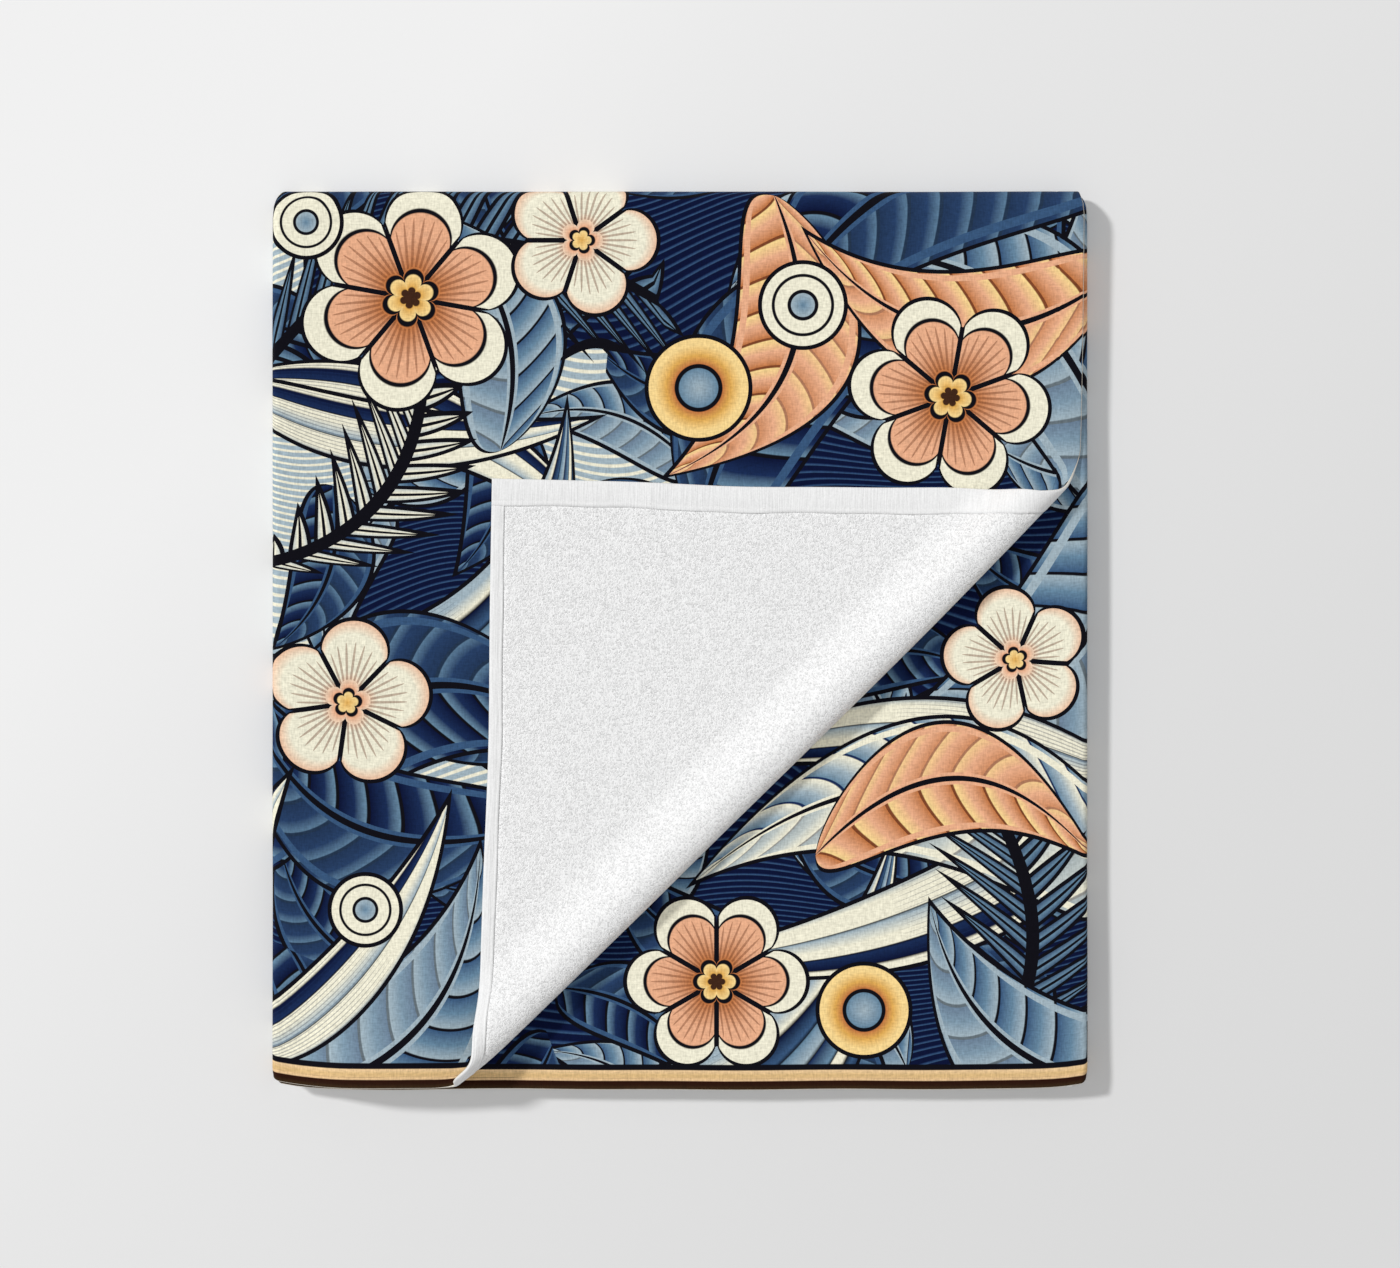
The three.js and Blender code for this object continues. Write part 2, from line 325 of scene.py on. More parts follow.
END_HEM = 0.0144
SIDE_HEM = 0.0071
END_SEAM = 0.0119
SIDE_SEAM = 0.0056
EDGE_ROUND = 0.0012
LEAST_EDGE = 0.3
HEM_THICKNESS = 0.00215
THICKEST = 0.0024
SEAM_DENT = dict(deep=0.00025, reach=0.0005)
STEP_DENT = dict(deep=0.00070, reach=0.00040, past=0.0003)
# From one place on the cut to another, how deep, and how far to each side.
CREASES = [
    # A valley behind the corner's fold, and soft dents on the laid-back corner.
    ((0.238, 0.27), (0.38, 0.13), 0.0006, 0.012),
    ((0.0005, 0.093), (0.017, 0.086), 0.0005, 0.0016),
    ((0.017, 0.086), (0.042, 0.074), 0.0003, 0.005),
    ((0.0005, 0.027), (0.015, 0.029), 0.0002, 0.0015),
    ((0.0005, 0.151), (0.016, 0.153), 0.0003, 0.0018),
    ((0.0005, 0.204), (0.015, 0.201), 0.0003, 0.0018),
    ((0.112, 0.0005), (0.115, 0.008), 0.0002, 0.0018),
    ((0.246, 0.0005), (0.243, 0.008), 0.0002, 0.0018),
    # Two pressed lines beside the right edge of the second layer.
    ((0.9205, 0.0), (0.9205, 0.48), 0.0003, 0.0012),
    ((0.923, 0.0), (0.923, 0.48), -0.0002, 0.0012),
]
FINE_STEP = 0.0070
MIDDLE_STEP = 0.0080
COARSE_STEP = 0.014
FOLD_STEPS = 12
TURN_STEPS = 18
ROLL_STEPS = 48
HEM_CLEAR = 0.006
PAST_HEM = 0.003


def near_edges(length, hem, seam):
    """Stations close to an edge: its round, the flat of the hem, its stitching and its step."""
    rounded = [0.12 * EDGE_ROUND, 0.45 * EDGE_ROUND, EDGE_ROUND]
    stitching = [seam - 0.0007, seam, seam + 0.0007]
    step = [hem - 0.0004, hem, hem + 0.0004, hem + 0.0009, hem + 0.0022]
    stations = [0, *rounded, *stitching, *step]
    return stations + [length - station for station in stations]


def spaced(start, end, step):
    """Evenly spaced stations from start to end."""
    return list(np.linspace(start, end, math.ceil((end - start) / step) + 1))


def tidy_stations(stations, closest=0.0001):
    """The stations in order, without those that nearly repeat another."""
    ordered = np.sort(stations)
    return ordered[np.concatenate(([True], np.diff(ordered) > closest))]


def between_hems(stations, length, hem):
    """Those stations that lie clear of the hems."""
    return [each for each in stations if hem + HEM_CLEAR < each < length - hem - HEM_CLEAR]


def cut_stations():
    """Where the flat cloth is cut across its length and across its width."""
    panel_steps = iter([FINE_STEP, COARSE_STEP, MIDDLE_STEP, COARSE_STEP])
    across = []
    for run in RUNS:
        steps = FOLD_STEPS if run["fold"] else math.ceil((run["end"] - run["start"]) / next(panel_steps))
        across += list(np.linspace(run["start"], run["end"], steps + 1))
    turned = HALF_WIDTH + TURN_LENGTH
    along = spaced(0, HALF_WIDTH, FINE_STEP) + spaced(turned, WIDTH, COARSE_STEP)
    along += list(np.linspace(HALF_WIDTH, turned, TURN_STEPS + 1))
    across = between_hems(across, LENGTH, END_HEM) + near_edges(LENGTH, END_HEM, END_SEAM)
    along = between_hems(along, WIDTH, SIDE_HEM) + near_edges(WIDTH, SIDE_HEM, SIDE_SEAM)
    return tidy_stations(across), tidy_stations(along)


def cut_finer(bm, along_axis, hem):
    """Cuts the hem of the top layer in half along its length, so that it can pucker."""
    across_axis = 1 - along_axis
    reach = (RUNS[0]["end"], HALF_WIDTH)[along_axis]
    edges = []
    for edge in bm.edges:
        start, end = (vert.co for vert in edge.verts)
        level = abs(start[across_axis] - end[across_axis]) < 1e-7
        near = start[across_axis] < hem + PAST_HEM
        if level and near and max(start[along_axis], end[along_axis]) < reach:
            edges.append(edge)
    bmesh.ops.subdivide_edges(bm, edges=edges, cuts=1)


def cut_corner(bm):
    """Cuts the top layer along many lines beside the corner's fold, so that it can turn."""
    corner = Vector((PANELS[0]["start"], PANELS[0]["front_top"])).dot(OUT) - LIFT
    way = Vector((OUT[0], -OUT[1], 0))
    middles = [(face, face.calc_center_median()) for face in bm.faces]
    top = [(face, middle) for face, middle in middles if middle.x < RUNS[0]["end"] and middle.y < HALF_WIDTH]
    for past in np.linspace(0, ROLL_LENGTH, ROLL_STEPS + 1):
        line = corner - past
        band = [
            face for face, middle in top
            if face.is_valid and abs(middle.dot(way) - line) < COARSE_STEP
        ]
        parts = {part for face in band for part in (*face.verts, *face.edges, face)}
        cut = bmesh.ops.bisect_plane(
            bm, geom=list(parts), dist=0.0002, plane_co=way * line, plane_no=way)
        fresh = [part for part in cut["geom"] if isinstance(part, bmesh.types.BMFace)]
        known = {face for face, _ in top}
        top += [(face, face.calc_center_median()) for face in fresh if face not in known]


def finished(bm, name):
    """A new mesh from what was shaped."""
    mesh = bpy.data.meshes.new(name)
    bm.to_mesh(mesh)
    bm.free()
    return mesh


def flat_cloth():
    """The flat cut as a mesh that lies in its own coordinates, u along and v across."""
    across, along = cut_stations()
    bm = bmesh.new()
    bmesh.ops.create_grid(bm, x_segments=len(across) - 1, y_segments=len(along) - 1, size=0.5)
    for vert in bm.verts:
        vert.co.x = np.interp(vert.co.x + 0.5, np.linspace(0, 1, len(across)), across)
        vert.co.y = np.interp(vert.co.y + 0.5, np.linspace(0, 1, len(along)), along)
    cut_finer(bm, 1, END_HEM)
    cut_finer(bm, 0, SIDE_HEM)
    cut_corner(bm)
    bmesh.ops.reverse_faces(bm, faces=bm.faces)
    cloth_map = bm.loops.layers.uv.new("cloth")
    hem_map = bm.loops.layers.uv.new("hems")
    for vert in bm.verts:
        from_end, from_side = hem_distances(*vert.co.xy)
        for loop in vert.link_loops:
            loop[cloth_map].uv = vert.co.xy
            loop[hem_map].uv = (from_end, from_side)
    for face in bm.faces:
        face.smooth = True
    return finished(bm, "towel")


END_WANDER = 0.0004
SIDE_WANDER = 0.0002


def hem_distances(u, v):
    """How far points are from the nearer end and side, as the sewn line wanders."""
    from_end = np.minimum(u, LENGTH - u)
    from_side = np.minimum(v, WIDTH - v)
    end_wander = END_WANDER * np.sin(v * 97 + 0.6) * np.sin(v * 41 + 1.1)
    side_wander = SIDE_WANDER * np.sin(u * 83 + 2.0)
    from_end = from_end - end_wander * smooth(from_end / 0.008)
    from_side = from_side - side_wander * smooth(from_side / 0.004)
    return from_end, from_side


def hem_thickness(from_end, from_side):
    """The cloth's thickness: thicker in its hems, and drawn down by their stitches."""
    in_end, in_side = from_end < END_HEM - 0.0001, from_side < SIDE_HEM - 0.0001
    thickness = THICKNESS + (HEM_THICKNESS - THICKNESS) * (in_end | in_side)
    for distance, hem, seam, shows in (
        (from_end, END_HEM, END_SEAM, 1.0), (from_side, SIDE_HEM, SIDE_SEAM, ~in_end),
    ):
        from_step = distance - hem - STEP_DENT["past"]
        thickness -= SEAM_DENT["deep"] * shows * bell(distance - seam, SEAM_DENT["reach"])
        thickness -= STEP_DENT["deep"] * shows * bell(from_step, STEP_DENT["reach"])
    return thickness


def edge_round(from_end, from_side):
    """How much of its thickness the cloth has near its turned edges."""
    edge = np.clip(np.minimum(from_end, from_side) / EDGE_ROUND, 0, 1)
    return np.maximum(np.sqrt(1 - (1 - edge) ** 2), LEAST_EDGE)


def uneven(a, b, length):
    """A gentle unevenness between about -1 and 1, with no repeat that shows."""
    wave = 2 * math.pi / length
    return (
        np.sin(a * wave + 1.7 * np.sin(b * wave * 0.61 + 0.9))
        + np.sin(b * wave * 0.87 + 1.3 * np.sin(a * wave * 0.53 + 2.1))
        + np.sin((a - b) * wave * 0.41 + 0.4)
    ) / 3


def crease_depth(u, v):
    """How deep the cloth is dented at points of the cut."""
    depth = np.zeros_like(u)
    for start, end, deep, reach in CREASES:
        run = np.subtract(end, start)
        share = np.clip(((u - start[0]) * run[0] + (v - start[1]) * run[1]) / (run @ run), 0, 1)
        away = np.hypot(u - start[0] - share * run[0], v - start[1] - share * run[1])
        depth += deep * bell(away, reach)
    return depth


LAYER_UNEVEN = 0.00013
LAYER_UNEVEN_LENGTH = 0.110
EDGE_UNEVEN = 0.0005
EDGE_UNEVEN_LENGTH = 0.095
EDGE_UNEVEN_REACH = 0.060
HEM_PUFF = 0.060
SIDE_PUFF = 0.050
PUFF_REACH = 0.030
REST_GAP = 0.00025
CORNER_DRAW_BACK = 0.0028
CORNER_DRAW_FRONT = 0.0016
CORNER_REACH = 0.013
SWELL = 0.03
SWELL_LENGTH = 0.210


def settle(place):
    """The packet's own unevenness: heights grow together, so that its layers stay apart."""
    x, y = place[:, 0], place[:, 1]
    wave = 2 * math.pi / SWELL_LENGTH
    swell = 1 + SWELL * np.sin(x * wave + 0.8) * np.cos(y * wave * 0.8 - 0.4)
    swell += HEM_PUFF * bell(y + HALF_PACKET_DEPTH, PUFF_REACH)
    swell += SIDE_PUFF * bell(np.abs(x) - HALF_PACKET_WIDTH, PUFF_REACH)
    back = smooth((y - HALF_PACKET_DEPTH) / CORNER_REACH + 1)
    front = smooth((-y - HALF_PACKET_DEPTH) / CORNER_REACH + 1)
    side = (x / HALF_PACKET_WIDTH) ** 8
    place[:, 0] -= np.sign(x) * side * (CORNER_DRAW_BACK * back + CORNER_DRAW_FRONT * front)
    place[:, 2] = place[:, 2] * swell + REST_GAP


def on_towel(u, v, proud=0.0):
    """Points of the folded towel, and the way the cloth's printed face looks there."""
    place, face = fold_cloth(u, v)
    from_end, from_side = hem_distances(u, v)
    lift = LAYER_UNEVEN * uneven(u, v, LAYER_UNEVEN_LENGTH) - crease_depth(u, v)
    lift += (THICKNESS - hem_thickness(from_end, from_side)) / 2
    place += face * (lift + proud)[:, None]
    edge_reach = np.exp(-from_side / EDGE_UNEVEN_REACH)
    place[:, 1] += EDGE_UNEVEN * uneven(u, 0 * u, EDGE_UNEVEN_LENGTH) * edge_reach
    settle(place)
    return place, face


towel_mesh = flat_cloth()
flat = np.zeros((len(towel_mesh.vertices), 3))
towel_mesh.vertices.foreach_get("co", flat.ravel())
folded, _ = on_towel(flat[:, 0], flat[:, 1])
towel_mesh.vertices.foreach_set("co", folded.ravel())
towel = add_object("beach_towel", towel_mesh)
wall = towel.modifiers.new("cloth", "SOLIDIFY")
wall.thickness = THICKEST
wall.offset = 0
wall.use_rim = True
wall.material_offset = 1
wall.material_offset_rim = 2
thick = towel.vertex_groups.new(name="thickness")
distances = hem_distances(flat[:, 0], flat[:, 1])
for index, share in enumerate(hem_thickness(*distances) * edge_round(*distances) / THICKEST):
    thick.add([index], share, "REPLACE")
wall.vertex_group = thick.name


# ---- The towel: its printed face -------------
# Reactive print on the smooth face of the cloth: a garden of broad leaves, fan palms, open
# blossoms and seed discs, drawn with a dark line. It turns back on itself at every fold, so
# that it runs on over them. A plain striped border follows both sides.

INK = (10, 9, 18)
NAVY = (4, 14, 50)
DEEP_BLUE = (22, 42, 82)
BLUE = (54, 84, 120)
STEEL = (100, 132, 156)
PALE_BLUE = (158, 176, 186)
CREAM = (236, 232, 210)
PEACH = (230, 172, 136)
ORANGE = (190, 116, 66)
RUST = (122, 66, 38)
GOLD = (220, 168, 84)
LIGHT_GOLD = (244, 212, 144)
BROWN = (62, 36, 22)


def linear(colour):
    """A colour given as it shows, from 0 to 255, as the renderer's own."""
    return tuple(
        channel / 12.92 if channel <= 0.04045 else ((channel + 0.055) / 1.055) ** 2.4
        for channel in (part / 255 for part in colour)
    ) + (1.0,)


def node(tree, kind, inputs=(), **settings):
    """Adds a shader node and feeds its inputs, in order, with values or other nodes' outputs."""
    added = tree.nodes.new("ShaderNode" + kind)
    for name, setting in settings.items():
        setattr(added, name, setting)
    feed(tree, added, enumerate(inputs))
    return added


def feed(tree, added, inputs):
    """Sets or links a node's inputs, given by number or name."""
    for place, value in inputs:
        if isinstance(value, bpy.types.NodeSocket):
            tree.links.new(value, added.inputs[place])
        elif value is not None:
            added.inputs[place].default_value = value


def calc(tree, operation, *values, clamp=False):
    """The result of one arithmetic step."""
    return node(tree, "Math", values, operation=operation, use_clamp=clamp).outputs[0]


def times(tree, *values):
    """The product of all the values."""
    product = values[0]
    for value in values[1:]:
        product = calc(tree, "MULTIPLY", product, value)
    return product


def fit(tree, value, factor, plus):
    """A value multiplied by a factor, with another added."""
    return calc(tree, "MULTIPLY_ADD", value, factor, plus)


def toned(tree, colour, tone):
    """A colour made lighter or darker."""
    lit = node(tree, "VectorMath", [colour], operation="SCALE")
    feed(tree, lit, [("Scale", tone)])
    return lit.outputs[0]


def noise(tree, place, scale, detail):
    """Soft flat noise, from 0 to 1."""
    added = node(tree, "TexNoise", noise_dimensions="2D")
    feed(tree, added, [("Vector", place), ("Scale", scale), ("Detail", detail)])
    return added.outputs[0]


def new_material(name):
    """A new material, its node tree and its shader."""
    material = bpy.data.materials.new(name)
    material.use_nodes = True
    return material, material.node_tree, material.node_tree.nodes["Principled BSDF"]


def cover(tree, share, under, over):
    """One colour laid over another where share is 1."""
    mix = node(tree, "Mix", data_type="RGBA", clamp_factor=True)
    feed(tree, mix, [(0, share), (6, under), (7, over)])
    return mix.outputs[2]


def ramp(tree, value, stops, hard=False):
    """A colour ramp of (position, colour) stops. A colour of None lets what is below show."""
    bar = node(tree, "ValToRGB", [value])
    bar.color_ramp.interpolation = "CONSTANT" if hard else "LINEAR"
    elements = bar.color_ramp.elements
    while len(elements) < len(stops):
        elements.new(1.0)
    for element, (position, colour) in zip(elements, stops):
        element.position = position
        element.color = linear(colour) if colour else (0, 0, 0, 0)
    return bar.outputs


def motif(name, inputs):
    """A node group that draws one motif over the colour that it is given."""
    tree = bpy.data.node_groups.new(name, "ShaderNodeTree")
    for label, kind in (("Place", "Vector"), ("Under", "Color"), *((label, "Float") for label in inputs)):
        tree.interface.new_socket(label, in_out="INPUT", socket_type="NodeSocket" + kind)
    tree.interface.new_socket("Color", in_out="OUTPUT", socket_type="NodeSocketColor")
    entry = tree.nodes.new("NodeGroupInput").outputs
    leave = tree.nodes.new("NodeGroupOutput").inputs[0]
    x, y, _ = node(tree, "SeparateXYZ", [entry["Place"]]).outputs
    return tree, entry, leave, x, y


def outlined(tree, entry, leave, inside, colour):
    """Ends a motif with its dark outline, and with what lies below it outside that."""
    colour = cover(tree, calc(tree, "LESS_THAN", inside, entry["Line"]), colour, linear(INK))
    shown = calc(tree, "GREATER_THAN", inside, 0.0)
    tree.links.new(cover(tree, shown, entry["Under"], colour), leave)
    return tree


# What brings a leaf's outline to its full width, and the least width of any shape.
FULLEST = 2.6
SLIGHT = 1e-5


def blade_shape(tree, x, y, half, bend):
    """Distance in from the outline of a pointed, bent leaf from (0, 0) to (1, 0), and its halves."""
    share = calc(tree, "ADD", x, 0.0, clamp=True)
    rest = calc(tree, "SUBTRACT", 1.0, share)
    arch = times(tree, share, rest, bend)
    off = calc(tree, "SUBTRACT", y, arch)
    full = times(tree, calc(tree, "SQRT", share), rest)
    width = fit(tree, full, times(tree, half, FULLEST), SLIGHT)
    away = calc(tree, "ABSOLUTE", off)
    inside = calc(tree, "SUBTRACT", width, away)
    across = calc(tree, "DIVIDE", away, width)
    return inside, across, off


VEIN_CURVE = 1.4
VEIN_SLANT = 0.13
UPPER_HALF_TINT = 0.35


def leaf_motif(name, look):
    """A broad leaf with side veins, each field between them shaded from light to dark."""
    vein_stops, margin = look
    tree, entry, leave, x, y = motif(name, ["Half", "Bend", "Veins", "Line"])
    inside, across, off = blade_shape(tree, x, y, entry["Half"], entry["Bend"])
    slant = times(tree, calc(tree, "POWER", across, VEIN_CURVE), VEIN_SLANT)
    upper = calc(tree, "GREATER_THAN", off, 0.0)
    phase = fit(tree, calc(tree, "SUBTRACT", x, slant), entry["Veins"], upper)
    colour = ramp(tree, calc(tree, "FRACT", phase), vein_stops)[0]
    colour = cover(tree, times(tree, upper, UPPER_HALF_TINT), colour, linear(margin))
    rim_stops = [(0, INK), (0.045, margin), (0.105, None), (0.80, margin), (0.90, None)]
    rim = ramp(tree, across, rim_stops, hard=True)
    colour = cover(tree, rim[1], colour, rim[0])
    return outlined(tree, entry, leave, inside, colour)


BLADE_HATCH_TINT = 0.45


def blade_motif(name, stripes):
    """A strap leaf with stripes along it, mirrored on its two sides, and a fine hatch."""
    tree, entry, leave, x, y = motif(name, ["Half", "Bend", "Veins", "Line"])
    inside, across, off = blade_shape(tree, x, y, entry["Half"], entry["Bend"])
    side = fit(tree, calc(tree, "SIGN", off), across, 1.0)
    colour = ramp(tree, times(tree, side, 0.5), stripes)[0]
    strokes = calc(tree, "SINE", times(tree, side, entry["Veins"]))
    far = fit(tree, x, 1.5, -0.35)
    thin = calc(tree, "GREATER_THAN", calc(tree, "SUBTRACT", strokes, far), 0.55)
    colour = cover(tree, times(tree, thin, BLADE_HATCH_TINT), colour, linear(DEEP_BLUE))
    return outlined(tree, entry, leave, inside, colour)


def from_middle(tree, x, y):
    """How far a point is from (0, 0)."""
    return calc(tree, "SQRT", calc(tree, "ADD", times(tree, x, x), times(tree, y, y)))


PETAL_ROUND = 0.55
NOTCH = 0.62
HEART = 0.27
PETAL_STROKES = 16.0
PETAL_HATCH_TINT = 0.55
PARTING = 0.3


def blossom_motif(name, rings):
    """An open blossom of unit radius, its round petals parted by lines and hatched inside."""
    tree, entry, leave, x, y = motif(name, ["Petals", "Line"])
    far = from_middle(tree, x, y)
    turn = times(tree, calc(tree, "ARCTAN2", y, x), times(tree, entry["Petals"], 0.5))
    lobe = calc(tree, "ABSOLUTE", calc(tree, "COSINE", turn))
    reach = fit(tree, calc(tree, "POWER", lobe, PETAL_ROUND), 1 - NOTCH, NOTCH)
    share = calc(tree, "DIVIDE", far, reach)
    colour = ramp(tree, share, rings)[0]
    strokes = calc(tree, "COSINE", times(tree, turn, PETAL_STROKES))
    short = fit(tree, share, 2.9, -1.05)
    past_heart = calc(tree, "GREATER_THAN", share, HEART)
    thin = times(tree, calc(tree, "GREATER_THAN", strokes, short), past_heart)
    colour = cover(tree, times(tree, thin, PETAL_HATCH_TINT), colour, linear(RUST))
    gap = times(tree, calc(tree, "DIVIDE", lobe, entry["Petals"]), far)
    parted = calc(tree, "LESS_THAN", gap, times(tree, entry["Line"], PARTING))
    colour = cover(tree, times(tree, parted, past_heart), colour, linear(INK))
    inside = calc(tree, "SUBTRACT", reach, far)
    return outlined(tree, entry, leave, inside, colour)


def disc_motif(name, rings):
    """A round seed disc of unit radius in plain rings."""
    tree, entry, leave, x, y = motif(name, ["Petals", "Line"])
    far = from_middle(tree, x, y)
    colour = ramp(tree, far, rings)[0]
    inside = calc(tree, "SUBTRACT", 1.0, far)
    return outlined(tree, entry, leave, inside, colour)


LEAFLET_LEAN = 0.75
LEAFLET_TAPER = 1.8
LEAFLET_WIDTH = 0.46
STEM_WIDTH = 1.6


def palm_motif(name, look):
    """A fan of narrow leaflets on both sides of a bent stem from (0, 0) to (1, 0)."""
    light, dark = look
    tree, entry, leave, x, y = motif(name, ["Half", "Bend", "Veins", "Line"])
    share = calc(tree, "ADD", x, 0.0, clamp=True)
    arch = times(tree, share, calc(tree, "SUBTRACT", 1.0, share), entry["Bend"])
    off = calc(tree, "SUBTRACT", y, arch)
    away = calc(tree, "ABSOLUTE", off)
    root = calc(tree, "SUBTRACT", x, times(tree, away, LEAFLET_LEAN))
    count = times(tree, root, entry["Veins"])
    number = calc(tree, "FLOOR", count)
    middle = calc(tree, "DIVIDE", calc(tree, "ADD", number, 0.5), entry["Veins"])
    held = calc(tree, "ADD", middle, 0.0, clamp=True)
    round_tip = calc(tree, "SQRT", times(tree, held, calc(tree, "SUBTRACT", 1.0, held)))
    long = times(tree, round_tip, 2.0)
    reach = fit(tree, long, entry["Half"], SLIGHT)
    out = calc(tree, "DIVIDE", away, reach)
    narrowing = calc(tree, "SUBTRACT", 1.0, calc(tree, "POWER", out, LEAFLET_TAPER))
    taper = times(tree, narrowing, LEAFLET_WIDTH)
    across = calc(tree, "ABSOLUTE", calc(tree, "SUBTRACT", calc(tree, "FRACT", count), 0.5))
    inside = calc(tree, "DIVIDE", calc(tree, "SUBTRACT", taper, across), entry["Veins"])
    rib = calc(tree, "DIVIDE", across, calc(tree, "ADD", taper, SLIGHT))
    colour = ramp(tree, rib, [(0, INK), (0.14, INK), (0.17, light), (0.9, dark)])[0]
    colour = cover(tree, calc(tree, "LESS_THAN", inside, entry["Line"]), colour, linear(INK))
    on_stem = calc(tree, "COMPARE", x, 0.5, 0.5)
    shown = times(tree, calc(tree, "GREATER_THAN", inside, 0.0), calc(tree, "LESS_THAN", out, 1.0))
    colour = cover(tree, shown, entry["Under"], colour)
    stem = calc(tree, "LESS_THAN", away, times(tree, entry["Line"], STEM_WIDTH))
    tree.links.new(cover(tree, times(tree, stem, on_stem), colour, linear(INK)), leave)
    return tree


LEAVES = {
    "night leaf": ([(0, INK), (0.10, INK), (0.13, STEEL), (0.5, DEEP_BLUE), (1, NAVY)], BLUE),
    "day leaf": ([(0, INK), (0.08, INK), (0.11, PALE_BLUE), (0.55, STEEL), (1, BLUE)], PALE_BLUE),
    "pale leaf": (
        [(0, DEEP_BLUE), (0.07, DEEP_BLUE), (0.10, CREAM), (0.6, PALE_BLUE), (1, STEEL)], CREAM),
    "autumn leaf": (
        [(0, RUST), (0.08, RUST), (0.11, LIGHT_GOLD), (0.5, PEACH), (1, ORANGE)], PEACH),
}
STRAPS = {
    "blue strap": [
        (0, NAVY), (0.10, BLUE), (0.16, INK), (0.19, CREAM), (0.27, CREAM), (0.28, INK), (0.31, STEEL),
        (0.44, DEEP_BLUE), (0.45, INK), (0.48, PALE_BLUE), (0.60, STEEL), (0.61, INK), (0.64, BLUE),
        (0.76, NAVY), (0.77, INK), (0.80, CREAM), (0.90, PALE_BLUE)],
    "cream strap": [
        (0, STEEL), (0.12, CREAM), (0.34, CREAM), (0.35, INK), (0.38, PALE_BLUE), (0.55, CREAM),
        (0.66, CREAM), (0.67, INK), (0.70, DEEP_BLUE), (0.84, NAVY), (0.85, INK), (0.88, CREAM)],
}
BLOSSOMS = {
    "blossom": [
        (0, BROWN), (0.09, BROWN), (0.10, GOLD), (0.20, LIGHT_GOLD), (0.21, INK), (0.25, INK),
        (0.26, ORANGE), (0.55, PEACH), (0.74, PEACH), (0.75, INK), (0.78, INK), (0.79, CREAM)],
    "pale blossom": [
        (0, GOLD), (0.12, LIGHT_GOLD), (0.13, INK), (0.17, INK), (0.18, PEACH), (0.36, CREAM),
        (0.80, CREAM), (1.0, PEACH)],
}
DISCS = {
    "blue disc": [
        (0, STEEL), (0.26, PALE_BLUE), (0.27, INK), (0.34, INK), (0.35, CREAM), (0.62, CREAM),
        (0.63, INK), (0.69, INK), (0.70, CREAM)],
    "gold disc": [
        (0, PALE_BLUE), (0.36, STEEL), (0.37, INK), (0.44, INK), (0.45, ORANGE), (0.6, GOLD),
        (0.80, LIGHT_GOLD)],
}
PALMS = {"blue palm": (STEEL, DEEP_BLUE), "cream palm": (CREAM, PALE_BLUE)}
MOTIFS = {
    name: draw(name, look)
    for draw, looks in (
        (leaf_motif, LEAVES), (blade_motif, STRAPS), (blossom_motif, BLOSSOMS),
        (disc_motif, DISCS), (palm_motif, PALMS),
    )
    for name, look in looks.items()
}

